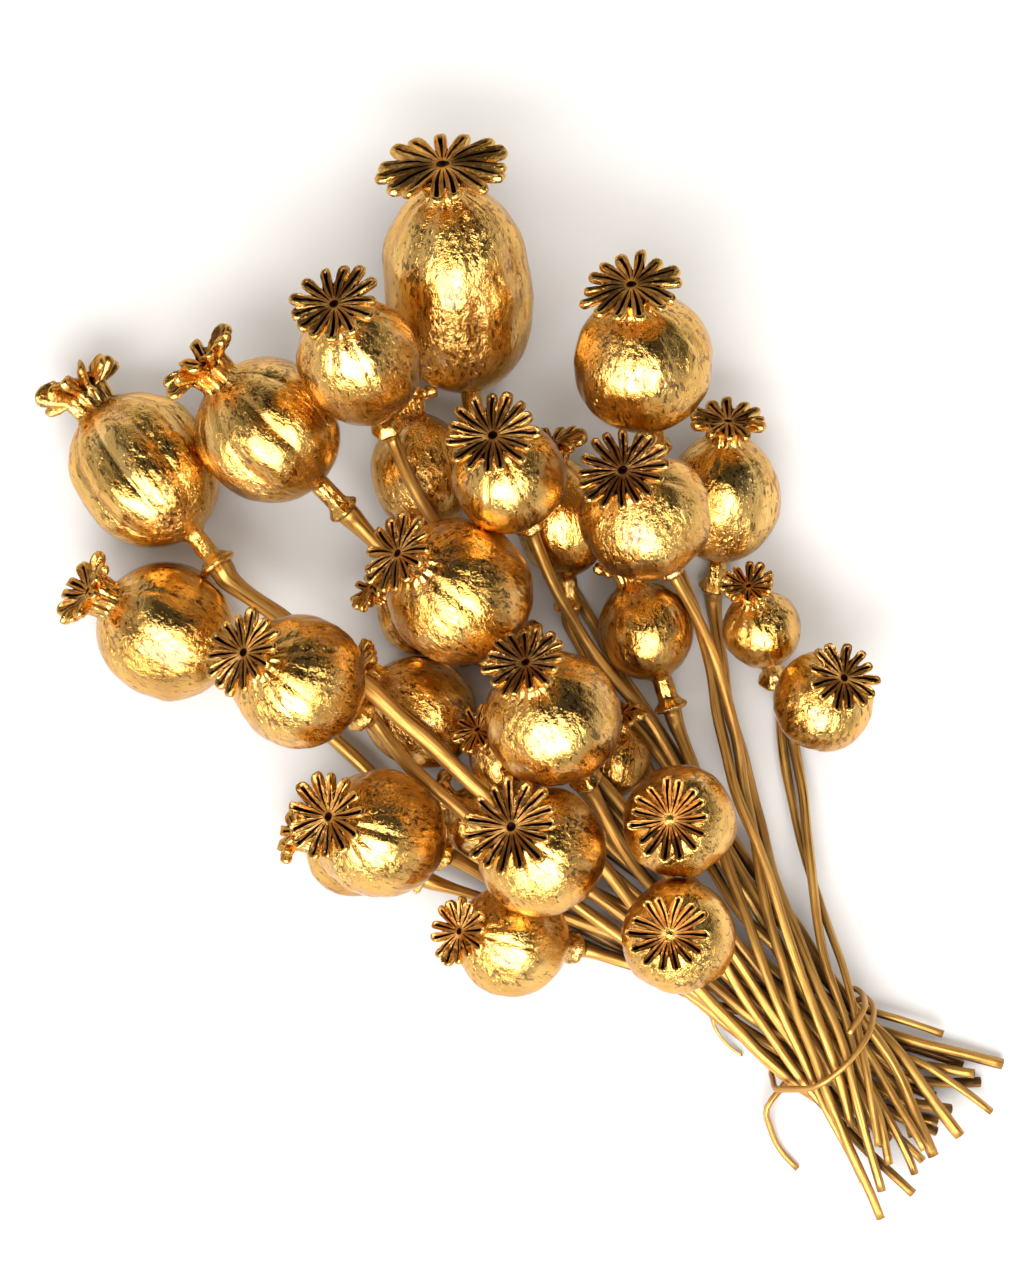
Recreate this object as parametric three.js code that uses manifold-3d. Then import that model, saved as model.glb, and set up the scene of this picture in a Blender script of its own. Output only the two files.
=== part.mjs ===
// A tied bunch of gilded poppy seed heads, lying on its side. Millimetres, +Z up, floor at z = 0.
// The heads fan out towards -X +Y, and the stems run together into one tie near +X -Y.
// Each head is one grown piece: a foot with its ring, the capsule, a neck and a rayed crown.
// The heads and stems are set out roughly by hand, then settled until nothing touches.
import * as THREE from 'three';
import { mergeVertices } from 'three/addons/utils/BufferGeometryUtils.js';
import Module from 'manifold-3d';

const wasm = await Module();
wasm.setup();

// ---- driving dimensions -------------------------------------------------------------------------
const clearance = 0.5;        // kept between any two pieces while they settle
const jointGap = 0.35;        // between a head's foot and its own stem

// Heads. at: middle of the capsule. heading: where the crown points, seen from above, in degrees from
// +X. rise: the crown's angle above the floor. radius and half: the capsule's radius and half length.
// by: places that the stem passes on its way to the tie, where its first route isn't the plain one.
const heads = [
  { at: [-16, 88, 28], heading: 97, rise: 34, radius: 19, half: 29, crown: 18, rays: 15, stem: 1.9 },
  { at: [-43, 68, 50], heading: 113, rise: 52, radius: 15.3, half: 18, crown: 12.3, rays: 13, stem: 1.7 },
  { at: [35, 70, 43], heading: 100, rise: 40, radius: 17.5, half: 18, crown: 13.7, rays: 14, stem: 1.7 },
  {
    at: [-93, 42, 19], heading: 128, rise: -4, radius: 18.4, half: 20.5, crown: 12.5, rays: 12, stem: 2.3,
    by: [[-30, -17, 31], [-7, -37, 30]],
  },
  {
    at: [-64, 54, 34], heading: 134, rise: 18, radius: 17.8, half: 18.6, crown: 12.1, rays: 12, stem: 1.9,
    by: [[-18, 10, 24]],
  },
  { at: [45, 38, 16], heading: 87, rise: 30, radius: 14.7, half: 17.2, crown: 10.6, rays: 12, stem: 1.7 },
  { at: [-1, 41, 52], heading: 113, rise: 58, radius: 14.2, half: 14.3, crown: 12.5, rays: 15, stem: 1.7 },
  { at: [34, 32, 45], heading: 119, rise: 56, radius: 16.8, half: 16.1, crown: 12.8, rays: 16, stem: 1.6 },
  { at: [-13, 13, 43], heading: 148, rise: 44, radius: 18.4, half: 19, crown: 11.1, rays: 13, stem: 1.9 },
  {
    at: [-87, 6, 18], heading: 152, rise: 22, radius: 17.5, half: 18.3, crown: 11.2, rays: 12, stem: 1.9,
    by: [[-38, -33, 5]],
  },
  {
    at: [-52, -10, 49], heading: 150, rise: 49, radius: 16.9, half: 16.9, crown: 11.5, rays: 14, stem: 1.8,
    by: [[-12, -39, 26]],
  },
  { at: [10, -22, 52], heading: 117, rise: 48, radius: 17.4, half: 17.3, crown: 11.2, rays: 15, stem: 1.8 },
  { at: [65, 3, 18], heading: 108, rise: 40, radius: 10.2, half: 10.5, crown: 7.6, rays: 12, stem: 1.4 },
  { at: [81, -16, 26], heading: 56, rise: 64, radius: 13, half: 12, crown: 9.9, rays: 13, stem: 1.5 },
  { at: [-32, -48, 38], heading: 158, rise: 54, radius: 16.4, half: 17.5, crown: 11.9, rays: 13, stem: 1.8 },
  { at: [-42, -56, 12], heading: 160, rise: 10, radius: 11.6, half: 11.5, crown: 8.7, rays: 11, stem: 1.5 },
  { at: [8, -52, 41], heading: 137, rise: 62, radius: 16.6, half: 15.9, crown: 12.8, rays: 15, stem: 1.8 },
  { at: [43, -47, 44], heading: 160, rise: 80, radius: 14.4, half: 13.8, crown: 11, rays: 15, stem: 1.6 },
  { at: [1, -75, 25], heading: 168, rise: 48, radius: 14.7, half: 15.1, crown: 9.4, rays: 13, stem: 1.7 },
  { at: [43, -75, 42], heading: 150, rise: 80, radius: 14.6, half: 13.9, crown: 11, rays: 14, stem: 1.7 },
  { at: [-24, 48, 13], heading: 101, rise: -4, radius: 13.2, half: 15.5, crown: 8.6, rays: 12, stem: 1.7 },
  { at: [-30, -20, 14], heading: 146, rise: 20, radius: 14.3, half: 15.5, crown: 9, rays: 12, stem: 1.8 },
  { at: [-5, -34, 21], heading: 130, rise: 38, radius: 9, half: 9.6, crown: 7.8, rays: 12, stem: 1.3 },
  { at: [13, 28, 15], heading: 96, rise: 18, radius: 12.3, half: 15.7, crown: 9.7, rays: 13, stem: 1.6 },
  { at: [36, 6, 13], heading: 108, rise: 6, radius: 12.3, half: 13.1, crown: 8.4, rays: 12, stem: 1.6 },
  { at: [27, -31, 11], heading: 84, rise: 20, radius: 8.9, half: 9.2, crown: 6.8, rays: 11, stem: 1.3 },
  { at: [-13, -44, 11], heading: 145, rise: 14, radius: 9.7, half: 10.2, crown: 7.1, rays: 11, stem: 1.4 },
  { at: [-25, -2, 10], heading: 146, rise: 20, radius: 9.6, half: 10.6, crown: 7.6, rays: 11, stem: 1.5 },
];
const crownThickness = 2;
const lobeDepth = 0.84;        // the notches between the crown's lobes, as a share of its radius
const ringRadius = 4.4;       // the ring where a foot meets its stem
const stipeRadius = 2.7;      // the foot's thin part
const footButt = 1.2;         // what the foot has below its ring
const headSides = 10;

// The tie. The stems pass through it heading down and to the right, and splay out past it.
const tieCentre = new THREE.Vector3(81, -107, 10);
const tieHeading = -45;
const crossing = 0.35;        // how far a stem in the tie keeps its own heading: 0 is parallel stems
const tieLayers = 5;          // layers of stems in the tie, lowest first
const layerHeight = 3.4;
const slotWidth = 3.6;
const strandRadius = 0.8;
const strandStart = 60;       // where the strand's winding starts, in degrees round the stems
const strandTurns = 1.6;
const strandPerTurn = 28;     // points in one turn of the winding
const strandPitch = 4.5;
const strandTilt = 13;        // how much further along the stems it runs on top than underneath
const strandShift = -7;       // where it runs underneath, past the tie's middle
const tieLift = 4.2;          // room under the lowest stem in the tie, for the strand
const strandSlack = 0.6;      // how far it stands off the stems, past the usual clearance
const strandEnd = [[67.4, -123.4, 5.2], [68.2, -128.6, 3], [70.8, -134.6, 1.4], [75.6, -140, 0.9]];

// A loose fibre that curls out on the low side.
const fibreRoute = [[52, -97, 3], [53, -100, 4], [54, -103, 3], [57, -107, 1.8], [61, -110, 1]];
const fibreRadius = 0.6;

// Tails: the cut ends past the tie.
const tailHeadings = [-74, -8];                      // from the first stem round to the last
const tailLengths = [38, 31, 41, 27, 46, 34, 43];    // used in turn
const tailStep = 12;
const tailBend = 50;          // how far a cut end turns from its tail's own heading, in degrees

// Stems: how far one ring lies from the next, and how many sides a stem has.
const stemStep = 15;
const stemSides = 6;
const firstStraight = 5;      // straight stretch under a head's ring
const leaveShare = 0.35;      // share of the way to the tie over which a stem still leaves straight
const mostLead = 30;          // the longest that this stretch gets
const arriveShare = 0.4;      // share of the way over which it already heads for its slot

// Settling.
const rounds = 420;
const looseRounds = 120;      // the last rounds, with nothing pulling back
const headShare = 0.1;        // what a head gives way where it meets a stem; the stem gives the rest
const neckStick = 0.33;       // how thick a head's neck counts, as a share of the capsule's radius
const crownStick = 1.3;       // how thick the crown's edge counts
const crownSpokes = 6;        // how many lines across stand for the crown

// How far a point moves in one round, as a share of the way to where it is wanted.
const headHold = 0.08;        // a head, to its own place
const tieDraw = 0.12;         // a stem in the tie, to the tie's middle
const tieAlign = 0.2;         // its neighbours, into line with it
const straighten = 0.3;       // any point of a stem, to the middle of its neighbours
const lateStraighten = 0.05;  // the same in the last rounds
const stemHold = 0.01;        // a point before the tie, to its first place
const tailHold = 0.08;        // a point past the tie, to its first place

// ---- small helpers ------------------------------------------------------------------------------
const up = new THREE.Vector3(0, 0, 1);
const radians = THREE.MathUtils.degToRad;

function heading(degrees) {
  return new THREE.Vector3(Math.cos(radians(degrees)), Math.sin(radians(degrees)), 0);
}

function along(start, direction, distance) {
  return start.clone().addScaledVector(direction, distance);
}

// ---- the shape of a head, worked out from its row --------------------------------------------------
function headDimensions(row) {
  const neck = 3 + 0.22 * row.radius;
  const foot = 4 + 0.33 * row.radius;
  const axis = heading(row.heading).multiplyScalar(Math.cos(radians(row.rise)));
  axis.z = Math.sin(radians(row.rise));
  return { ...row, neck, foot, axis, top: row.half + neck, bottom: -(row.half + foot) };
}

// The capsule with its foot and neck, turned round the head's own axis, from the foot up.
function headProfile(head) {
  const { radius, half, top, bottom, crown } = head;
  const points = [
    [0, bottom - footButt],
    [head.stem + 0.4, bottom - footButt],
    [ringRadius, bottom],
    [stipeRadius, bottom + 2],
    [stipeRadius + 0.4, -half - 1],
    [0.52 * radius, -0.82 * half],
    [0.87 * radius, -0.45 * half],
    [radius, 0],
    [0.86 * radius, 0.48 * half],
    [0.56 * radius, 0.82 * half],
    [0.3 * radius, half + 1],
    [0.5 * crown, top - 0.4],
    [0.12 * crown, top + crownThickness / 2],
    [0, top + crownThickness / 2 + 0.6],
  ];
  return points.map(([r, z]) => new THREE.Vector2(r, z));
}

// The crown from above: one rounded lobe for each ray, as a tip and a valley.
function crownShape(head) {
  const shape = new THREE.Shape();
  const corners = 2 * head.rays;
  for (let i = 0; i < corners; i += 1) {
    const r = i % 2 === 0 ? head.crown : lobeDepth * head.crown;
    const angle = (Math.PI * i) / head.rays;
    if (i === 0) shape.moveTo(r, 0);
    else shape.lineTo(r * Math.cos(angle), r * Math.sin(angle));
  }
  return shape;
}

function toSolid(geometry) {
  geometry.deleteAttribute('normal');
  geometry.deleteAttribute('uv');
  const merged = mergeVertices(geometry, 1e-4);
  return new wasm.Manifold(new wasm.Mesh({
    numProp: 3,
    vertProperties: new Float32Array(merged.attributes.position.array),
    triVerts: new Uint32Array(merged.index.array),
  }));
}

function toGeometry(solid) {
  const mesh = solid.getMesh();
  const geometry = new THREE.BufferGeometry();
  geometry.setAttribute('position', new THREE.BufferAttribute(new Float32Array(mesh.vertProperties), 3));
  geometry.setIndex(new THREE.BufferAttribute(new Uint32Array(mesh.triVerts), 1));
  geometry.computeVertexNormals();
  return geometry;
}

// A turned solid round +Z. A lathe turns round +Y, so it is laid over.
function turned(profile, sides) {
  return toSolid(new THREE.LatheGeometry(profile, sides).rotateX(Math.PI / 2));
}

function headGeometry(head) {
  const body = turned(headProfile(head), headSides);
  const plate = new THREE.ExtrudeGeometry(crownShape(head), { depth: crownThickness, bevelEnabled: false });
  plate.translate(0, 0, head.top - crownThickness / 2);
  return toGeometry(body.add(toSolid(plate)));
}

// ---- settling: every piece is a set of rounded sticks, pushed apart until none of them touch ---------
function stick(owner, start, end, radius) {
  return { owner, line: new THREE.Line3(start.clone(), end.clone()), radius };
}

function headSticks(head, owner) {
  const { at, axis, radius, half, crown, top, bottom } = head;
  const reach = Math.max(half - radius, 0.1);
  const side = new THREE.Vector3().crossVectors(axis, up).normalize();
  const other = new THREE.Vector3().crossVectors(axis, side);
  const hub = along(at, axis, top);
  const sticks = [
    stick(owner, along(at, axis, -reach), along(at, axis, reach), radius),
    stick(owner, along(at, axis, half), hub, neckStick * radius),
    stick(owner, along(at, axis, 2 - half), along(at, axis, bottom), ringRadius),
  ];
  for (let i = 0; i < crownSpokes; i += 1) {
    const angle = (Math.PI * i) / crownSpokes;
    const spoke = side.clone().multiplyScalar(Math.cos(angle)).addScaledVector(other, Math.sin(angle));
    const tip = crown - crownStick;
    sticks.push(stick(owner, along(hub, spoke, -tip), along(hub, spoke, tip), crownStick));
  }
  return sticks;
}

function footEnd(head) {
  return along(head.at, head.axis, head.bottom - footButt - jointGap);
}

// A stem's first route: out of the foot, in one easy curve to its slot in the tie, and on to its cut end.
function stemRoute(head, slot, turn, length) {
  const start = footEnd(head);
  const inward = head.axis.clone().negate();
  const reach = start.distanceTo(slot);
  const lead = Math.min(leaveShare * reach, mostLead);
  const arrive = slot.clone().sub(start).setZ(0).normalize();
  const leave = along(start, inward, firstStraight);
  const arriving = along(slot, arrive, -arriveShare * reach);
  const curve = head.by
    ? new THREE.CatmullRomCurve3([leave, ...head.by.map((place) => new THREE.Vector3(...place)), slot])
    : new THREE.CubicBezierCurve3(leave, along(leave, inward, lead), arriving, slot);
  const before = Math.max(4, Math.round(reach / stemStep));
  const points = [start, ...curve.getSpacedPoints(before)];
  const after = Math.round(length / tailStep);
  for (let i = 0; i < after; i += 1) {
    const sway = turn + tailBend * Math.sin(length) * (i + 0.5 - after / 2) / after;
    points.push(along(points.at(-1), heading(sway), length / after));
  }
  const passing = heading(THREE.MathUtils.lerp(tieHeading, turn, crossing));
  return { points, tieIndex: before + 1, passing, home: points.map((point) => point.clone()) };
}

// The stems in order round the fan, each with a slot in the tie: the ones from the right lie on top.
function setOutStems(placed) {
  const bearing = (head) => Math.atan2(head.at.y - tieCentre.y, tieCentre.x - head.at.x);
  const order = placed.map((head, index) => index).sort((a, b) => bearing(placed[b]) - bearing(placed[a]));
  const acrossTie = heading(tieHeading + 90);
  const perLayer = Math.ceil(placed.length / tieLayers);
  const stems = [];
  order.forEach((index, rank) => {
    const layer = tieLayers - 1 - Math.floor(rank / perLayer);
    const column = perLayer - 1 - (rank % perLayer);
    const slot = along(tieCentre, acrossTie, (column - (perLayer - 1) / 2 + 0.25 * (layer % 2)) * slotWidth);
    slot.z += (layer - (tieLayers - 1) / 2) * layerHeight;
    const turn = THREE.MathUtils.lerp(...tailHeadings, rank / (placed.length - 1));
    const length = tailLengths[rank % tailLengths.length];
    stems[index] = { ...stemRoute(placed[index], slot, turn, length), radius: placed[index].stem };
  });
  return stems;
}

// Moves a stick off its neighbour: a head goes as one piece, a stem's segment at its two ends.
function pushStick(item, contact, push, shifts) {
  if (item.owner.head !== undefined) {
    shifts[item.owner.head].add(push);
    return;
  }
  const { line } = item;
  const t = THREE.MathUtils.clamp(line.closestPointToPointParameter(contact, true), 0, 1);
  const share = 1 / ((1 - t) ** 2 + t ** 2);
  line.start.addScaledVector(push, share * (1 - t));
  line.end.addScaledVector(push, share * t);
}

// Neighbouring pieces of one plant: a stem's own segments, and the foot that its first ones leave.
function sameGrowth(a, b) {
  const one = a.owner;
  const two = b.owner;
  if (one.head !== undefined && two.head !== undefined) return one.head === two.head;
  if (one.stem !== undefined && two.stem !== undefined) return one.stem === two.stem;
  const stem = one.stem !== undefined ? one : two;
  const head = one.head !== undefined ? one : two;
  return stem.stem === head.head && stem.segment < 2;
}

const nearA = new THREE.Vector3();
const nearB = new THREE.Vector3();
const middleA = new THREE.Vector3();
const middleB = new THREE.Vector3();

function separate(a, b, shifts) {
  const reach = a.radius + b.radius + clearance;
  a.line.getCenter(middleA);
  b.line.getCenter(middleB);
  const span = reach + (a.line.distance() + b.line.distance()) / 2;
  if (middleA.distanceToSquared(middleB) > span * span || sameGrowth(a, b)) return;
  const distance = Math.sqrt(a.line.distanceSqToLine3(b.line, nearA, nearB));
  if (distance >= reach) return;
  const push = distance > 1e-6 ? nearA.clone().sub(nearB).divideScalar(distance) : up.clone();
  const headA = a.owner.head !== undefined;
  const headB = b.owner.head !== undefined;
  let shareA = 0.5;
  if (headA !== headB) shareA = headA ? headShare : 1 - headShare;
  const depth = reach - distance;
  pushStick(a, nearA, push.clone().multiplyScalar(depth * shareA), shifts);
  pushStick(b, nearB, push.multiplyScalar(-depth * (1 - shareA)), shifts);
}

function settle(placed, stems) {
  const anchors = placed.map((head) => head.at.clone());
  for (let round = 0; round < rounds; round += 1) {
    const held = round < rounds - looseRounds;
    const shifts = placed.map(() => new THREE.Vector3());
    const sticks = placed.flatMap((head, index) => headSticks(head, { head: index }));
    stems.forEach((stem, index) => {
      for (let i = 0; i + 1 < stem.points.length; i += 1) {
        const line = new THREE.Line3(stem.points[i], stem.points[i + 1]);
        sticks.push({ owner: { stem: index, segment: i }, line, radius: stem.radius });
      }
    });
    for (let i = 0; i < sticks.length; i += 1) {
      for (let j = i + 1; j < sticks.length; j += 1) separate(sticks[i], sticks[j], shifts);
    }
    placed.forEach((head, index) => {
      head.at.add(shifts[index]);
      if (held) head.at.lerp(anchors[index], headHold);
      const lowest = Math.min(...headSticks(head, {}).map(({ line, radius }) => (
        Math.min(line.start.z, line.end.z) - radius)));
      head.at.z = Math.max(head.at.z, head.at.z - lowest);
    });
    stems.forEach((stem, index) => relaxStem(stem, placed[index], held));
  }
}

// One round for one stem: it straightens, keeps near its first route, and is drawn together at the tie.
function relaxStem(stem, head, held) {
  const { points, home, tieIndex, passing, radius } = stem;
  const before = points.map((point) => point.clone());
  const forward = heading(tieHeading);
  for (let i = 2; i + 1 < points.length; i += 1) {
    const inTail = i > tieIndex;
    points[i].lerp(before[i - 1].clone().lerp(before[i + 1], 0.5), held ? straighten : lateStraighten);
    if (held) points[i].lerp(home[i], inTail ? tailHold : stemHold);
  }
  const tiePoint = points[tieIndex];
  if (held) {
    const ahead = points[tieIndex + 1].distanceTo(tiePoint);
    const behind = points[tieIndex - 1].distanceTo(tiePoint);
    points[tieIndex + 1].lerp(along(tiePoint, passing, ahead), tieAlign);
    points[tieIndex - 1].lerp(along(tiePoint, passing, -behind), tieAlign);
  }
  tiePoint.addScaledVector(forward, -tiePoint.clone().sub(tieCentre).dot(forward));
  if (held) tiePoint.lerp(tieCentre, tieDraw);
  tiePoint.z = Math.max(tiePoint.z, radius + tieLift);
  points[0].copy(footEnd(head));
  points[1].copy(along(points[0], head.axis, -firstStraight));
  points.forEach((point) => {
    point.z = Math.max(point.z, radius);
  });
}

// ---- tubes --------------------------------------------------------------------------------------
// The rings stand exactly at the route's own points, because a route's step is its own measure.
function tube(points, radius, sides) {
  const path = new THREE.CatmullRomCurve3(points);
  path.getUtoTmapping = (u) => u;
  const section = new THREE.Shape();
  for (let i = 0; i < sides; i += 1) {
    const angle = (2 * Math.PI * i) / sides;
    if (i === 0) section.moveTo(radius, 0);
    else section.lineTo(radius * Math.cos(angle), radius * Math.sin(angle));
  }
  return new THREE.ExtrudeGeometry(section, {
    steps: points.length - 1,
    extrudePath: path,
    bevelEnabled: false,
    curveSegments: 1,
  });
}

// ---- the tie: a strand wound round the stems, started on top and left trailing on the low side --------
function stemsAtPlane(stems, distance) {
  const forward = heading(tieHeading);
  const found = [];
  stems.forEach(({ points, radius }) => {
    for (let i = 0; i + 1 < points.length; i += 1) {
      const from = points[i].clone().sub(tieCentre).dot(forward) - distance;
      const to = points[i + 1].clone().sub(tieCentre).dot(forward) - distance;
      if (from > 0 || to <= 0) continue;
      const point = points[i].clone().lerp(points[i + 1], from / (from - to));
      found.push({ point, radius });
    }
  });
  return found;
}

// How far out the stems' outline reaches from the tie's middle, in one direction, as a taut thread lies
// on it: the nearest of the tangent lines that cross that direction.
function outlineReach(discs, middle, angle) {
  const side = heading(tieHeading + 90);
  const mostLean = 70;
  const leanStep = 10;
  let nearest = Infinity;
  for (let lean = -mostLean; lean <= mostLean; lean += leanStep) {
    const bearing = angle + radians(lean);
    const outward = side.clone().multiplyScalar(Math.cos(bearing)).addScaledVector(up, Math.sin(bearing));
    const reaches = discs.map(({ point, radius }) => point.clone().sub(middle).dot(outward) + radius);
    nearest = Math.min(nearest, Math.max(...reaches) / Math.cos(radians(lean)));
  }
  return nearest;
}

function strandRoute(stems) {
  const forward = heading(tieHeading);
  const side = heading(tieHeading + 90);
  const points = [];
  const count = Math.round(strandTurns * strandPerTurn);
  for (let i = 0; i <= count; i += 1) {
    const turns = i / strandPerTurn;
    const angle = radians(strandStart) - 2 * Math.PI * turns;
    const tilt = strandTilt * (1 + Math.sin(angle)) / 2;
    const distance = strandPitch * (turns - strandTurns / 2) + strandShift + tilt;
    const middle = along(tieCentre, forward, distance);
    const outward = side.clone().multiplyScalar(Math.cos(angle)).addScaledVector(up, Math.sin(angle));
    const reach = outlineReach(stemsAtPlane(stems, distance), middle, angle);
    const point = along(middle, outward, reach + strandRadius + clearance + strandSlack);
    point.z = Math.max(point.z, strandRadius);
    points.push(point);
  }
  return [...points, ...strandEnd.map((place) => new THREE.Vector3(...place))];
}

// ---- materials ----------------------------------------------------------------------------------
const materials = {
  head: { color: 0xd9a441, roughness: 0.3, metalness: 1 },
  stem: { color: 0xb8863b, roughness: 0.5, metalness: 0.5 },
  strand: { color: 0xc08f45, roughness: 0.55, metalness: 0.4 },
};

function piece(name, geometry, finish) {
  const mesh = new THREE.Mesh(geometry, new THREE.MeshStandardMaterial(materials[finish]));
  mesh.name = name;
  return mesh;
}

// ---- the bunch ----------------------------------------------------------------------------------
const placed = heads.map((row) => headDimensions({ ...row, at: new THREE.Vector3(...row.at) }));
const stems = setOutStems(placed);
settle(placed, stems);

const bunch = new THREE.Group();
placed.forEach((head, index) => {
  const number = String(index + 1).padStart(2, '0');
  const mesh = piece(`seed_head_${number}`, headGeometry(head), 'head');
  mesh.position.copy(head.at);
  mesh.quaternion.setFromUnitVectors(up, head.axis);
  bunch.add(mesh);
  bunch.add(piece(`stem_${number}`, tube(stems[index].points, stems[index].radius, stemSides), 'stem'));
});
bunch.add(piece('tie_strand', tube(strandRoute(stems), strandRadius, stemSides), 'strand'));
const fibre = fibreRoute.map((place) => new THREE.Vector3(...place));
bunch.add(piece('loose_fibre', tube(fibre, fibreRadius, stemSides), 'strand'));

// The bunch stands on the floor, with the middle of its outline over the origin.
const outline = new THREE.Box3().setFromObject(bunch, true);
const middle = outline.getCenter(new THREE.Vector3());
bunch.position.set(-middle.x, -middle.y, -outline.min.z);

export default bunch;
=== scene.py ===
# %% [markdown]
# # A tied bunch of gilded poppy seed heads
# Twenty-eight dried capsules lie in a fan, and their stems run together into one tie. Everything is
# covered in gold leaf: shiny and crinkled on the capsules, worn down to bronze on the rayed crowns, and
# dull on the stems. The solids that hold every piece's place are loaded first, and each one then gets a
# detailed piece grown over it.

# %% Load the frame
import itertools
import math

import bmesh
import bpy
import numpy as np
from mathutils import Matrix, Vector


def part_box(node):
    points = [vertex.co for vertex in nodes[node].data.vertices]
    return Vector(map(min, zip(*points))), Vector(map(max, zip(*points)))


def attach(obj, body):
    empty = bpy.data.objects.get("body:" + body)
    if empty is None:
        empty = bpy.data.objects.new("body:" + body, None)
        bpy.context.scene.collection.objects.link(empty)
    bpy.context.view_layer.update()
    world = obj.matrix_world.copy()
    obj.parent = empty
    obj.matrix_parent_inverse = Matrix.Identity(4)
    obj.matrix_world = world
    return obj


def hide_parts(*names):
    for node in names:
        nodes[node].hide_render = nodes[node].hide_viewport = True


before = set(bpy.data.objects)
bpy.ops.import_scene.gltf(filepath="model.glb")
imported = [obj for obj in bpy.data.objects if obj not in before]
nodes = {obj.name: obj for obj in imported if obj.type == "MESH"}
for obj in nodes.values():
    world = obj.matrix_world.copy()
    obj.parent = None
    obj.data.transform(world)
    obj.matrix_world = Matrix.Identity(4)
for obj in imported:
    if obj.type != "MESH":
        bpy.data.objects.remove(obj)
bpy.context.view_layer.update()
heads_count = len([name for name in nodes if name.startswith("seed_head_")])
mm = 0.001
print("nodes:", len(nodes), "heads:", heads_count)

# %% [markdown]
# ## The camera
# The camera looks straight down on the bunch from 1.3 m. A wide lens close by would do as well for
# framing, but a long one from further off keeps the heads that stand high from swelling. The frame's
# middle lies a little to the side of the bunch's own middle.

# %% Camera
camera_height = 1.3
view_height = 0.3393                      # how much of the floor the long side of the frame shows
view_middle = (-0.0036, 0.0102)
camera = bpy.data.objects.new("camera", bpy.data.cameras.new("camera"))
bpy.context.scene.collection.objects.link(camera)
camera.location = (*view_middle, camera_height)
camera.data.sensor_width = 36
camera.data.lens = camera.data.sensor_width * camera_height / view_height
camera.data.clip_end = 20
bpy.context.scene.camera = camera
print("lens:", round(camera.data.lens, 1), "mm")

# %% [markdown]
# ## Reading the solids
# A solid's mesh comes in as loose triangles, so a copy of it is merged first. Stems, strand and fibre
# are tubes with six corners to a ring. From the ring at one end, the next ring is whatever is joined to
# it, and so on down the tube: the middles of those rings are the line that the piece follows. The
# same lines could be typed in, but what is read from a solid always agrees with it.

# %% Read a tube
corners_in_ring = 6
weld_distance = 0.01 * mm


def merged(node):
    """A merged copy of a solid's mesh."""
    copy = bmesh.new()
    copy.from_mesh(nodes[node].data)
    bmesh.ops.remove_doubles(copy, verts=copy.verts, dist=weld_distance)
    return copy


def read_tube(node, start_order):
    """The middles of a tube's rings, from its start, and their radius. start_order sorts the start
    first. The points are kept in order all the way, since a set's order would differ from run to run."""
    solid = merged(node)
    ring = sorted(solid.verts, key=lambda vert: start_order(vert.co))[:corners_in_ring]
    seen = set(ring)
    middles = []
    radii = []
    while ring:
        middle = sum((vert.co for vert in ring), Vector()) / len(ring)
        middles.append(middle)
        radii.append(sum((vert.co - middle).length for vert in ring) / len(ring))
        reached = dict.fromkeys(edge.other_vert(vert) for vert in ring for edge in vert.link_edges)
        ring = [vert for vert in reached if vert not in seen]
        seen.update(ring)
    solid.free()
    return middles, sum(radii) / len(radii)


def middle_of(node):
    low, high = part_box(node)
    return (low + high) / 2


stem_lines = {}
for number in range(1, heads_count + 1):
    head_middle = middle_of(f"seed_head_{number:02d}")
    stem_lines[number] = read_tube(f"stem_{number:02d}", lambda place: (place - head_middle).length)
print("stem rings:", [len(line) for line, radius in stem_lines.values()])

# %% [markdown]
# ## Reading the heads
# A head's own line starts where its stem starts and runs to the peak of its crown. Seen along that line,
# its widest ring gives the capsule's radius, and the corners of its crown plate count the rays. A few
# numbers for each head are then enough to grow it again in detail.

# %% Read the heads
plate_depth = 4.2 * mm                    # what lies below the peak and still counts as crown
belly_zone = (0.25, 0.7)                  # where along a head its widest ring is looked for
ray_tip = 0.97                            # a corner this near the crown's full reach is at a ray's tip


def read_head(number):
    """Where a head's parts are, in a frame of its own with +Z towards the crown and z = 0 at its belly."""
    solid = merged(f"seed_head_{number:02d}")
    places = [vert.co.copy() for vert in solid.verts]
    solid.free()
    start = stem_lines[number][0][0]
    axis = (sum(places, Vector()) / len(places) - start).normalized()
    for _ in range(3):
        peak = max(places, key=lambda place: (place - start).dot(axis))
        axis = (peak - start).normalized()
    length = (peak - start).length
    heights = [(place - start).dot(axis) for place in places]
    reaches = [((place - start) - axis * height).length for place, height in zip(places, heights)]
    belly = [(reach, height) for reach, height in zip(reaches, heights)
             if belly_zone[0] * length < height < belly_zone[1] * length]
    radius, belly_height = max(belly)
    top = [(reach, place) for reach, height, place in zip(reaches, heights, places)
           if height > length - plate_depth]
    crown, tip = max(top, key=lambda pair: pair[0])
    rays = len([reach for reach, place in top if reach > ray_tip * crown]) // 2
    outward = (tip - start) - axis * (tip - start).dot(axis)
    side = outward.normalized()
    turn = Matrix((side, axis.cross(side), axis)).transposed().to_4x4()
    place = Matrix.Translation(start + axis * belly_height) @ turn
    return {"place": place, "radius": radius / mm, "crown": crown / mm, "rays": rays,
            "below": belly_height / mm, "above": (length - belly_height) / mm,
            "stem": stem_lines[number][1] / mm}


heads = {number: read_head(number) for number in range(1, heads_count + 1)}
for number, head in heads.items():
    print(number, {key: round(value, 1) for key, value in head.items() if key != "place"})

# %% [markdown]
# ## Surface noise
# A real capsule is lumpy and its leaf is crinkled, and both follow from smooth noise. Blender's own
# noise works on one point at a time, so this one is written to take all of a head's points at once.
# Random values sit on the corners of a lattice of cells, and a point between them gets a blend of the
# eight around it. The random table has a fixed seed, so the same bunch grows every time.

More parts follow.
